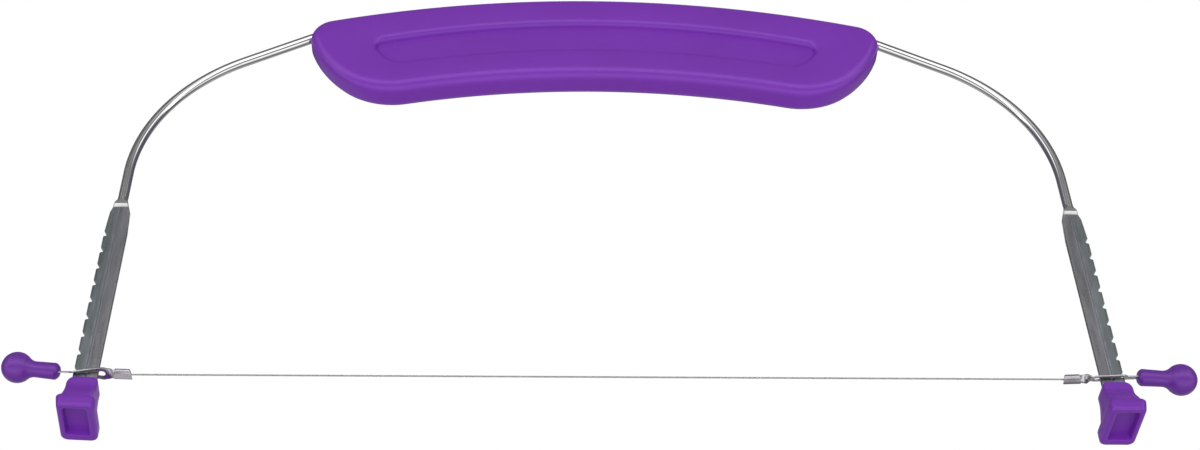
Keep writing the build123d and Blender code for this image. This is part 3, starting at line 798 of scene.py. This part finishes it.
def knob_rings(knob):
    """The knob turned about its own axis, as circles: chamfered mouth, shank, hollow throat, ball.

    Two more rows soften each edge of the chamfer. The throat is the arc that touches the shank and
    the ball. The ball ends in a point on the axis.
    """
    ball, shank = knob.ball / 2, knob.shank / 2
    centre = knob.length - ball
    throat_x = centre - np.sqrt((ball + knob.blend) ** 2 - (shank + knob.blend) ** 2)
    throat_y = shank + knob.blend
    meet = np.arctan2(centre - throat_x, throat_y)
    hollow = np.linspace(0, meet, 12)
    bulge = np.linspace(np.pi - (np.pi / 2 - meet), 0.02, 30)
    soft, flared = knob.softness, shank * knob.flare
    along = np.concatenate(
        [
            [0, 0, soft * 0.3, knob.mouth - soft, knob.mouth, knob.mouth + soft],
            throat_x + knob.blend * np.sin(hollow),
            centre + ball * np.cos(bulge)[1:],
        ]
    )
    radius = np.concatenate(
        [
            [knob.mouth_hole, flared - knob.mouth - soft * 0.2, flared - knob.mouth + soft * 0.4],
            [flared - soft * 0.9, flared - soft * 0.25, flared],
            throat_y - knob.blend * np.cos(hollow),
            ball * np.sin(bulge)[1:],
        ]
    )
    theta = np.linspace(0, 2 * np.pi, 48, endpoint=False)
    y, z = radius[:, None] * np.cos(theta), radius[:, None] * np.sin(theta)
    return np.stack([np.broadcast_to(along[:, None], y.shape), y, z], -1)


STRAND_SIDES, ROWS_PER_LAY = 6, 10


def cable_rings(cable, knob, first_turn, offset):
    """One strand: a small circle carried along a helix about the cable's line.

    The helix angle is 2 pi x over the lay plus the strand's own start. An offset of zero gives the
    straight core. Inside the tabs the line leans up with the links.
    """
    strand = cable.diameter / 6
    reach = knob.cable_end_x + cable.held
    x = np.linspace(-reach, reach, int(2 * reach / cable.lay * ROWS_PER_LAY))
    past = np.clip(abs(x) - knob.cable_end_x, 0, None)
    line = np.stack([x, np.zeros_like(x), WIRE_Z + past * np.tan(knob.link_lean)], 1)
    turn = 2 * np.pi * x / cable.lay + first_turn
    axis = np.stack([np.zeros_like(x), np.cos(turn), np.sin(turn)], 1)
    centre = line + offset * axis
    theta = turn[:, None] + np.linspace(0, 2 * np.pi, STRAND_SIDES, endpoint=False)
    across = np.stack([np.zeros_like(theta), np.cos(theta), np.sin(theta)], -1)
    return centre[:, None, :] + strand * across


# Finishes


def new_material(name):
    """Material with its output and one Principled shader."""
    made = bpy.data.materials.new(name)
    made.use_nodes = True
    tree = made.node_tree
    tree.nodes.clear()
    output = tree.nodes.new("ShaderNodeOutputMaterial")
    shader = tree.nodes.new("ShaderNodeBsdfPrincipled")
    tree.links.new(shader.outputs["BSDF"], output.inputs["Surface"])
    return made, tree, shader


def noise(tree, scale, stretch=(1, 1, 1), detail=3.0):
    """Noise on Object coordinates, in cycles per metre, stretched by a Mapping node."""
    coords = tree.nodes.new("ShaderNodeTexCoord")
    mapping = tree.nodes.new("ShaderNodeMapping")
    mapping.inputs["Scale"].default_value = stretch
    texture = tree.nodes.new("ShaderNodeTexNoise")
    texture.inputs["Scale"].default_value = scale
    texture.inputs["Detail"].default_value = detail
    tree.links.new(coords.outputs["Object"], mapping.inputs["Vector"])
    tree.links.new(mapping.outputs["Vector"], texture.inputs["Vector"])
    return texture.outputs["Fac"]


# Nearly all of a noise lies between these
NOISE_LOW, NOISE_HIGH = 0.3, 0.7


def ranged(tree, value, low, high):
    """Maps a noise onto a range."""
    node = tree.nodes.new("ShaderNodeMapRange")
    node.inputs["From Min"].default_value = NOISE_LOW
    node.inputs["From Max"].default_value = NOISE_HIGH
    node.inputs["To Min"].default_value = low
    node.inputs["To Max"].default_value = high
    tree.links.new(value, node.inputs["Value"])
    return node.outputs["Result"]


def ramp_through(tree, value, stops):
    """Colour by a value, through stops of a place and a colour."""
    ramp = tree.nodes.new("ShaderNodeValToRGB")
    while len(ramp.color_ramp.elements) < len(stops):
        ramp.color_ramp.elements.new(0.5)
    for stop, (place, rgb) in zip(ramp.color_ramp.elements, stops):
        stop.position = place
        stop.color = (*rgb, 1)
    tree.links.new(value, ramp.inputs["Fac"])
    return ramp.outputs["Color"]


def varied(tree, value, rgb, spread):
    """Colour that drifts by a small share, darker and lighter, with a noise."""
    darker = [channel * (1 - spread) for channel in rgb]
    lighter = [channel * (1 + spread) for channel in rgb]
    return ramp_through(tree, value, ((NOISE_LOW, darker), (NOISE_HIGH, lighter)))


def bumped(tree, shader, value, depth):
    """Bump whose height is a real depth in metres."""
    bump = tree.nodes.new("ShaderNodeBump")
    bump.inputs["Strength"].default_value = 1.0
    bump.inputs["Distance"].default_value = depth
    tree.links.new(value, bump.inputs["Height"])
    tree.links.new(bump.outputs["Normal"], shader.inputs["Normal"])


def moulded_plastic(name, rgb, roughness):
    """Semi-gloss moulded plastic: faint flow variation, uneven gloss and a fine moulded skin."""
    made, tree, shader = new_material(name)
    flow = noise(tree, scale=38, stretch=(1, 1, 1.6), detail=4)
    tree.links.new(varied(tree, flow, rgb, spread=0.035), shader.inputs["Base Color"])
    gloss = ranged(tree, noise(tree, scale=420, detail=5), roughness - 0.035, roughness + 0.045)
    tree.links.new(gloss, shader.inputs["Roughness"])
    shader.inputs["IOR"].default_value = 1.49
    bumped(tree, shader, noise(tree, scale=2600, detail=2), depth=0.004 * MM)
    return made


def drawn_steel(name, rgb, roughness, grain, depth, painted_bands=None):
    """Steel with a fine grain along Z or X, uneven polish, faint tarnish, and painted shade and
    reflection across it where bands are given.
    """
    made, tree, shader = new_material(name)
    shader.inputs["Metallic"].default_value = 1.0
    shade = varied(tree, noise(tree, scale=260, stretch=(1, 1, 0.35), detail=5), rgb, spread=0.06)
    # Bands of painted shade and reflection across the piece, where given
    if painted_bands:
        shade = paint_shade_across(tree, shade, *painted_bands)
    tree.links.new(shade, shader.inputs["Base Color"])
    polish = noise(tree, scale=900, stretch=grain, detail=4)
    gloss = ranged(tree, polish, roughness - 0.05, roughness + 0.07)
    tree.links.new(gloss, shader.inputs["Roughness"])
    bumped(tree, shader, noise(tree, scale=5200, stretch=grain, detail=3), depth)
    return made


def worked(tree, operation, *values):
    """Output of a Math node whose inputs are sockets or numbers."""
    node = tree.nodes.new("ShaderNodeMath")
    node.operation = operation
    for socket, value in zip(node.inputs, values):
        if isinstance(value, (int, float)):
            socket.default_value = value
        else:
            tree.links.new(value, socket)
    return node.outputs["Value"]


def mixed(tree, share_socket, first, second):
    """Shader between two others, by a share."""
    node = tree.nodes.new("ShaderNodeMixShader")
    for socket, source in zip(node.inputs, (share_socket, first, second)):
        tree.links.new(source, socket)
    return node.outputs["Shader"]


def paint_shade_across(tree, colour_socket, start_x, end_x, stops):
    """Colour times painted shade and reflection that change across the piece, by distance from the YZ
    plane.
    """
    coords = tree.nodes.new("ShaderNodeTexCoord")
    parts = tree.nodes.new("ShaderNodeSeparateXYZ")
    tree.links.new(coords.outputs["Object"], parts.inputs["Vector"])
    off = worked(tree, "ABSOLUTE", parts.outputs["X"])
    across = tree.nodes.new("ShaderNodeMapRange")
    across.inputs["From Min"].default_value = start_x
    across.inputs["From Max"].default_value = end_x
    tree.links.new(off, across.inputs["Value"])
    mix = tree.nodes.new("ShaderNodeMix")
    mix.data_type = "RGBA"
    mix.blend_type = "MULTIPLY"
    mix.inputs["Factor"].default_value = 1.0
    tree.links.new(colour_socket, mix.inputs["A"])
    tree.links.new(ramp_through(tree, across.outputs["Result"], stops), mix.inputs["B"])
    return mix.outputs["Result"]


def give(made, material, body, slot_name, *nodes):
    """Dresses a piece, lets it ride on its body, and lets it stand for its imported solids.

    Stops the script if the piece came out empty.
    """
    if not len(made.data.polygons):
        raise RuntimeError(f"{made.name} has no faces")
    made.data.materials.clear()
    made.data.materials.append(material)
    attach(made, body)
    if nodes:
        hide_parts(*nodes)
    return made


# Operators, one for each piece or group of like pieces


ROD_STEEL = "Polished rod steel"
# Painted shade and reflection across a leg, from its inner edge to its outer one: painted shade
# darkens both edges and the pressed line in its middle, and the two halves carry painted
# reflections, mauve-grey inside and grey-green outside
LEG_PAINTED_SHADE_AND_REFLECTION = (
    (0.0, (0.72, 0.7, 0.74)),
    (0.06, (1.0, 0.97, 1.02)),
    (0.4, (0.96, 0.95, 1.0)),
    (0.5, (0.62, 0.66, 0.72)),
    (0.6, (0.86, 0.92, 0.97)),
    (0.86, (0.84, 0.92, 0.93)),
    (0.97, (0.6, 0.66, 0.66)),
)


class LEVELER_OT_bow(bpy.types.Operator):
    """Polished rod from leg to leg"""

    bl_idname = "leveler.bow"
    bl_label = "Bow Rod"

    def execute(self, context):
        bow, finish = context.scene.leveler_bow, context.scene.leveler_finishes
        rod = skin("bow_rod", [tube_rings(bow_path(bow), bow.rod_diameter / 2, 40)])
        steel = drawn_steel(
            ROD_STEEL,
            finish.rod_colour,
            finish.rod_roughness,
            grain=(1, 1, 0.25),
            depth=0.0006 * MM,
        )
        give(rod, steel, "frame", "bow_steel", "bow_frame")
        return {"FINISHED"}


class LEVELER_OT_legs(bpy.types.Operator):
    """Flattened legs with the notches that hold the cable, and their polished upper ends"""

    bl_idname = "leveler.legs"
    bl_label = "Notched Legs"

    def execute(self, context):
        bow, finish = context.scene.leveler_bow, context.scene.leveler_finishes
        inner_x, outer_x = bow.leg_x - bow.leg_width / 2, bow.leg_x + bow.leg_width / 2
        # Painted shade at the edges and the pressed line, and painted reflections on the two halves
        steel = drawn_steel(
            "Pressed leg steel",
            finish.leg_colour,
            finish.leg_roughness,
            grain=(1, 1, 0.12),
            depth=0.0016 * MM,
            painted_bands=(inner_x, outer_x, LEG_PAINTED_SHADE_AND_REFLECTION),
        )
        polished = bpy.data.materials[ROD_STEEL]
        for hand, side in (("left", -1), ("right", 1)):
            strip, end = split_leg(bow, side)
            leg = skin(f"{hand}_notched_leg", [strip], crease=24)
            give(leg, steel, "frame", "bow_steel", "bow_frame")
            pressed = skin(f"{hand}_pressed_end", [end], crease=24)
            give(pressed, polished, "frame", "bow_steel", "bow_frame")
        return {"FINISHED"}


class LEVELER_OT_grip(bpy.types.Operator):
    """Both moulded halves of the grip"""

    bl_idname = "leveler.grip"
    bl_label = "Grip"

    def execute(self, context):
        grip, finish = context.scene.leveler_grip, context.scene.leveler_finishes
        plastic = moulded_plastic("Purple grip plastic", finish.grip_colour, finish.plastic_roughness)
        for name, side, node in (
            ("grip_front_half", -1, "handle_front_cover"),
            ("grip_back_half", 1, "handle_back_cover"),
        ):
            half = skin(name, [grip_rings(grip, side)], crease=24)
            give(half, plastic, "frame", "grip_plastic", node)
        return {"FINISHED"}


class LEVELER_OT_feet(bpy.types.Operator):
    """Moulded feet with softened edges"""

    bl_idname = "leveler.feet"
    bl_label = "Feet"

    def execute(self, context):
        scene = context.scene
        foot, finish = scene.leveler_foot, scene.leveler_finishes
        plastic = moulded_plastic("Purple foot plastic", finish.foot_colour, finish.plastic_roughness)
        for name, side, turned, node in (
            ("left_foot_shell", -1, foot.left_turn, "left_foot"),
            ("right_foot_shell", 1, 0, "right_foot"),
        ):
            shell = skin(name, [foot_rings(foot, scene.leveler_bow, side, turned)], crease=40)
            give(shell, plastic, "frame", "foot_plastic", node)
        return {"FINISHED"}


class LEVELER_OT_links(bpy.types.Operator):
    """Stamped strip links between the cable and the knobs"""

    bl_idname = "leveler.links"
    bl_label = "Strip Links"

    def execute(self, context):
        scene = context.scene
        link, knob, finish = scene.leveler_link, scene.leveler_knob, scene.leveler_finishes
        steel = drawn_steel(
            "Stamped link steel",
            finish.link_colour,
            finish.link_roughness,
            grain=(0.2, 1, 1),
            depth=0.001 * MM,
        )
        left_rolls = link.left_outer_roll, link.left_inner_roll, link.left_tab_roll
        right_rolls = link.right_outer_roll, link.right_inner_roll, link.right_tab_roll
        for hand, side, reach, lean, rolls in (
            ("left", -1, 0, knob.left_lean, left_rolls),
            ("right", 1, link.right_reach, knob.right_lean, right_rolls),
        ):
            stacks = link_stacks(link, knob, side, reach, lean, *rolls)
            strip = skin(f"{hand}_strip_link", stacks, crease=35)
            give(strip, steel, "wire_unit", "link_steel", f"{hand}_wire_link")
        return {"FINISHED"}


class LEVELER_OT_knobs(bpy.types.Operator):
    """Turned knobs on the ends of the cable"""

    bl_idname = "leveler.knobs"
    bl_label = "Knobs"

    def execute(self, context):
        knob, finish = context.scene.leveler_knob, context.scene.leveler_finishes
        plastic = moulded_plastic("Purple knob plastic", finish.knob_colour, finish.plastic_roughness)
        for name, side, lean, size, node in (
            ("left_end_knob", -1, knob.left_lean, knob.left_size, "left_knob"),
            ("right_end_knob", 1, knob.right_lean, 1.0, "right_knob"),
        ):
            mouth_x = knob_mouth_x(knob, lean)
            mouth_z = WIRE_Z + (mouth_x - knob.cable_end_x) * np.tan(knob.link_lean)
            axis = (side * np.cos(lean), 0, np.sin(lean))
            rise = (-side * np.sin(lean), 0, np.cos(lean))
            turned = size * knob_rings(knob) @ np.array([axis, (0, 1, 0), rise])
            made = skin(name, [turned + (side * mouth_x, 0, mouth_z)], crease=35)
            give(made, plastic, "wire_unit", "knob_plastic", node)
        return {"FINISHED"}


class LEVELER_OT_cable(bpy.types.Operator):
    """Seven-strand cutting cable"""

    bl_idname = "leveler.cable"
    bl_label = "Cable"

    def execute(self, context):
        scene = context.scene
        cable, knob, finish = scene.leveler_cable, scene.leveler_knob, scene.leveler_finishes
        steel = drawn_steel(
            "Cable steel",
            finish.cable_colour,
            finish.cable_roughness,
            grain=(0.3, 1, 1),
            depth=0.0004 * MM,
        )
        strands = [cable_rings(cable, knob, 0, 0)]
        strands += [cable_rings(cable, knob, n * np.pi / 3, cable.diameter / 3) for n in range(6)]
        made = skin("stranded_cable", strands, crease=80)
        give(made, steel, "wire_unit", "cable_steel", "cutting_wire")
        return {"FINISHED"}


# Floor, light and camera


def make_floor(stage):
    """Pale floor just under the soles. It is seen from above only, and is clear from below."""
    half = stage.floor_size / 2
    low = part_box("left_foot")[0].z - stage.floor_gap
    corners = ((-half, -half, low), (half, -half, low), (half, half, low), (-half, half, low))
    mesh = bpy.data.meshes.new("floor")
    mesh.from_pydata(corners, [], [(0, 1, 2, 3)])
    floor = bpy.data.objects.new("floor", mesh)
    bpy.context.scene.collection.objects.link(floor)
    made, tree, shader = new_material("Pale floor")
    shader.inputs["Base Color"].default_value = (*stage.floor_colour, 1)
    shader.inputs["Roughness"].default_value = stage.floor_roughness
    shader.inputs["Specular IOR Level"].default_value = 0.2
    sides = tree.nodes.new("ShaderNodeNewGeometry")
    clear = tree.nodes.new("ShaderNodeBsdfTransparent")
    both = mixed(tree, sides.outputs["Backfacing"], shader.outputs["BSDF"], clear.outputs["BSDF"])
    tree.links.new(both, tree.get_output_node("ALL").inputs["Surface"])
    mesh.materials.append(made)
    floor.visible_diffuse = False
    floor.visible_glossy = False
    floor.visible_transmission = False
    floor.visible_shadow = False


# What polished parts reflect is a studio of soft panels. The long panels lie across the tool: their
# brightness goes by the angle about the X axis, in degrees. Straight ahead of the grip is 0,
# straight down is 90, and straight behind is 180.
LONG_PANELS = (
    (-180, 0.1),
    (-150, 0.1),
    (-110, 0.14),
    (-90, 0.16),
    (-62, 0.17),
    (-45, 0.26),
    (-30, 0.3),
    (-24, 0.5),
    (-17, 1.8),
    (-3, 2.5),
    (9, 1.8),
    (15, 0.4),
    (28, 0.22),
    (42, 0.35),
    (50, 1.6),
    (70, 1.6),
    (85, 0.8),
    (105, 0.35),
    (125, 0.2),
    (150, 0.2),
    (165, 0.1),
    (180, 0.1),
)
# The upright panels go by the angle to either side of straight ahead of the grip. Those in front
# stand high, and the one behind, for views of the back, reaches as far down as up.
FRONT_PANELS = ((0, 1.0), (4, 1.0), (9, 0), (36, 0), (42, 1.5), (54, 1.5), (60, 0), (180, 0))
BACK_PANEL = ((0, 0), (118, 0), (136, 0.38), (180, 0.38))
# The front panels lie between the first two of these Z of a unit direction, and gain and lose the
# shares below for each unit of Z. The back panel lies within the third, up and down.
FRONT_LOW, FRONT_HIGH, BACK_REACH = 0.15, 0.7, 0.46
FADE_IN, FADE_OUT = 5, 6
# The white background is seen in the gloss within a narrow cone, straight away from the camera
AWAY = (0, 0.731, 0.682)
CONE_COSINE = 0.985


def panel_light(tree, angle_socket, low, high, panels):
    """Brightness of panels by an angle, which runs from low to high degrees."""
    share = tree.nodes.new("ShaderNodeMapRange")
    share.inputs["From Min"].default_value = np.radians(low)
    share.inputs["From Max"].default_value = np.radians(high)
    tree.links.new(angle_socket, share.inputs["Value"])
    brightest = max(bright for degrees, bright in panels)
    stops = [((at - low) / (high - low), [bright / brightest] * 3) for at, bright in panels]
    ramp = ramp_through(tree, share.outputs["Result"], stops)
    return worked(tree, "MULTIPLY", ramp, brightest)


def studio_light(tree, direction):
    """Brightness of the studio in a direction: long panels, upright panels and the one behind.

    A long panel goes by arctan(-z / -y) and an upright one by the size of arctan(x / -y). The
    front ones fade in and out evenly with z.
    """
    parts = tree.nodes.new("ShaderNodeSeparateXYZ")
    tree.links.new(direction, parts.inputs["Vector"])
    x, y, z = parts.outputs
    ahead = worked(tree, "MULTIPLY", y, -1)
    down = worked(tree, "MULTIPLY", z, -1)
    beside = worked(tree, "ABSOLUTE", worked(tree, "ARCTAN2", x, ahead))
    long_light = panel_light(tree, worked(tree, "ARCTAN2", down, ahead), -180, 180, LONG_PANELS)
    rise = worked(tree, "MULTIPLY", worked(tree, "SUBTRACT", z, FRONT_LOW), FADE_IN)
    fall = worked(tree, "MULTIPLY", worked(tree, "SUBTRACT", FRONT_HIGH, z), FADE_OUT)
    standing = worked(tree, "MINIMUM", worked(tree, "MINIMUM", rise, fall), 1)
    standing = worked(tree, "MAXIMUM", standing, 0)
    front_light = worked(tree, "MULTIPLY", panel_light(tree, beside, 0, 180, FRONT_PANELS), standing)
    near_level = worked(tree, "LESS_THAN", worked(tree, "ABSOLUTE", z), BACK_REACH)
    back_light = worked(tree, "MULTIPLY", panel_light(tree, beside, 0, 180, BACK_PANEL), near_level)
    return worked(tree, "ADD", worked(tree, "ADD", long_light, front_light), back_light)


def white_light(tree, strength):
    """Plain white background shader. Its strength is a number or a socket."""
    node = tree.nodes.new("ShaderNodeBackground")
    node.inputs["Color"].default_value = (1, 1, 1, 1)
    if isinstance(strength, (int, float)):
        node.inputs["Strength"].default_value = strength
    else:
        tree.links.new(strength, node.inputs["Strength"])
    return node.outputs["Background"]


def make_surroundings(scene, stage):
    """White behind the object, even room light on it, and the studio of panels for its gloss.

    Straight behind the object, the gloss sees the white background too.
    """
    world = bpy.data.worlds.new("Studio")
    scene.world = world
    world.use_nodes = True
    world.cycles.sampling_method = "NONE"
    tree = world.node_tree
    tree.nodes.clear()
    output = tree.nodes.new("ShaderNodeOutputWorld")
    direction = tree.nodes.new("ShaderNodeTexCoord").outputs["Generated"]
    rays = tree.nodes.new("ShaderNodeLightPath").outputs
    along = tree.nodes.new("ShaderNodeVectorMath")
    along.operation = "DOT_PRODUCT"
    along.inputs[1].default_value = AWAY
    tree.links.new(direction, along.inputs[0])
    in_cone = worked(tree, "GREATER_THAN", along.outputs["Value"], CONE_COSINE)
    white, room = white_light(tree, 1.0), white_light(tree, stage.room_light)
    mirrored = mixed(tree, in_cone, white_light(tree, studio_light(tree, direction)), white)
    on_object = mixed(tree, rays["Is Glossy Ray"], room, mirrored)
    seen = worked(tree, "MAXIMUM", rays["Is Camera Ray"], rays["Is Transmission Ray"])
    tree.links.new(mixed(tree, seen, on_object, white), output.inputs["Surface"])


def make_lamp(name, place, target, size, watts):
    """Soft round lamp that looks at a point."""
    data = bpy.data.lights.new(name, "AREA")
    data.shape = "DISK"
    data.size = size
    data.energy = watts
    lamp = bpy.data.objects.new(name, data)
    lamp.location = place
    lamp.rotation_mode = "QUATERNION"
    lamp.rotation_quaternion = (Vector(target) - Vector(place)).to_track_quat("-Z", "Y")
    bpy.context.scene.collection.objects.link(lamp)
    lamp.visible_camera = False
    return lamp


def make_lamps(stage):
    """Soft lamp in front and below, and a weaker one overhead that gives the floor its shadow.

    Neither shows in the gloss, which has its own panels.
    """
    middle = (0, 0, CROWN_Z / 2)
    for name, place, watts in (
        ("Front lamp", stage.key_place, stage.key_light),
        ("Overhead lamp", stage.top_place, stage.top_light),
    ):
        lamp = make_lamp(name, place, middle, stage.lamp_size, watts)
        lamp.visible_glossy = False


def make_camera(scene, stage):
    """Camera at the photograph's angle, from its yaw, pitch and roll."""
    data = bpy.data.cameras.new("Camera")
    data.lens = stage.camera_lens
    data.sensor_fit = "HORIZONTAL"
    data.sensor_width = 36
    data.clip_start = 0.01
    data.clip_end = 50
    camera = bpy.data.objects.new("Camera", data)
    yaw, pitch, roll = stage.camera_yaw, stage.camera_pitch, stage.camera_roll
    sight = Vector((np.sin(yaw) * np.cos(pitch), np.cos(yaw) * np.cos(pitch), np.sin(pitch)))
    level = Vector((np.cos(yaw), -np.sin(yaw), 0))
    above = level.cross(sight)
    right = np.cos(roll) * level + np.sin(roll) * above
    up = -np.sin(roll) * level + np.cos(roll) * above
    turned = Matrix((right, up, -sight)).transposed()
    camera.matrix_world = Matrix.Translation(stage.camera_place) @ turned.to_4x4()
    scene.collection.objects.link(camera)
    scene.camera = camera


class LEVELER_OT_stage(bpy.types.Operator):
    """Floor, soft light, white surroundings and the camera"""

    bl_idname = "leveler.stage"
    bl_label = "Stage"

    def execute(self, context):
        scene = context.scene
        stage = scene.leveler_stage
        make_floor(stage)
        make_surroundings(scene, stage)
        make_lamps(stage)
        make_camera(scene, stage)
        scene.view_settings.view_transform = "Standard"
        return {"FINISHED"}


class LEVELER_PT_parts(bpy.types.Panel):
    """Lists the pieces of the cake leveler"""

    bl_idname = "LEVELER_PT_parts"
    bl_label = "Cake Leveler"
    bl_space_type = "VIEW_3D"
    bl_region_type = "UI"
    bl_category = "Leveler"

    def draw(self, context):
        column = self.layout.column(align=True)
        for operator in OPERATORS:
            column.operator(operator.bl_idname)


GROUPS = {
    "leveler_bow": LevelerBowSizes,
    "leveler_grip": LevelerGripSizes,
    "leveler_knob": LevelerKnobSizes,
    "leveler_cable": LevelerCableSizes,
    "leveler_foot": LevelerFootSizes,
    "leveler_link": LevelerLinkSizes,
    "leveler_finishes": LevelerFinishes,
    "leveler_stage": LevelerStage,
}
OPERATORS = (
    LEVELER_OT_bow,
    LEVELER_OT_legs,
    LEVELER_OT_grip,
    LEVELER_OT_feet,
    LEVELER_OT_links,
    LEVELER_OT_knobs,
    LEVELER_OT_cable,
    LEVELER_OT_stage,
)


def register():
    """Adds the property groups, the operators and the panel."""
    for name, group in GROUPS.items():
        bpy.utils.register_class(group)
        setattr(bpy.types.Scene, name, bpy.props.PointerProperty(type=group))
    for operator in OPERATORS:
        bpy.utils.register_class(operator)
    bpy.utils.register_class(LEVELER_PT_parts)


def unregister():
    """Takes them off again, last first."""
    bpy.utils.unregister_class(LEVELER_PT_parts)
    for operator in reversed(OPERATORS):
        bpy.utils.unregister_class(operator)
    for name, group in reversed(list(GROUPS.items())):
        delattr(bpy.types.Scene, name)
        bpy.utils.unregister_class(group)


def main():
    """Builds the pieces and the stage."""
    register()
    bpy.ops.leveler.bow()
    bpy.ops.leveler.legs()
    bpy.ops.leveler.grip()
    bpy.ops.leveler.feet()
    bpy.ops.leveler.links()
    bpy.ops.leveler.knobs()
    bpy.ops.leveler.cable()
    bpy.ops.leveler.stage()


if __name__ == "__main__":
    main()
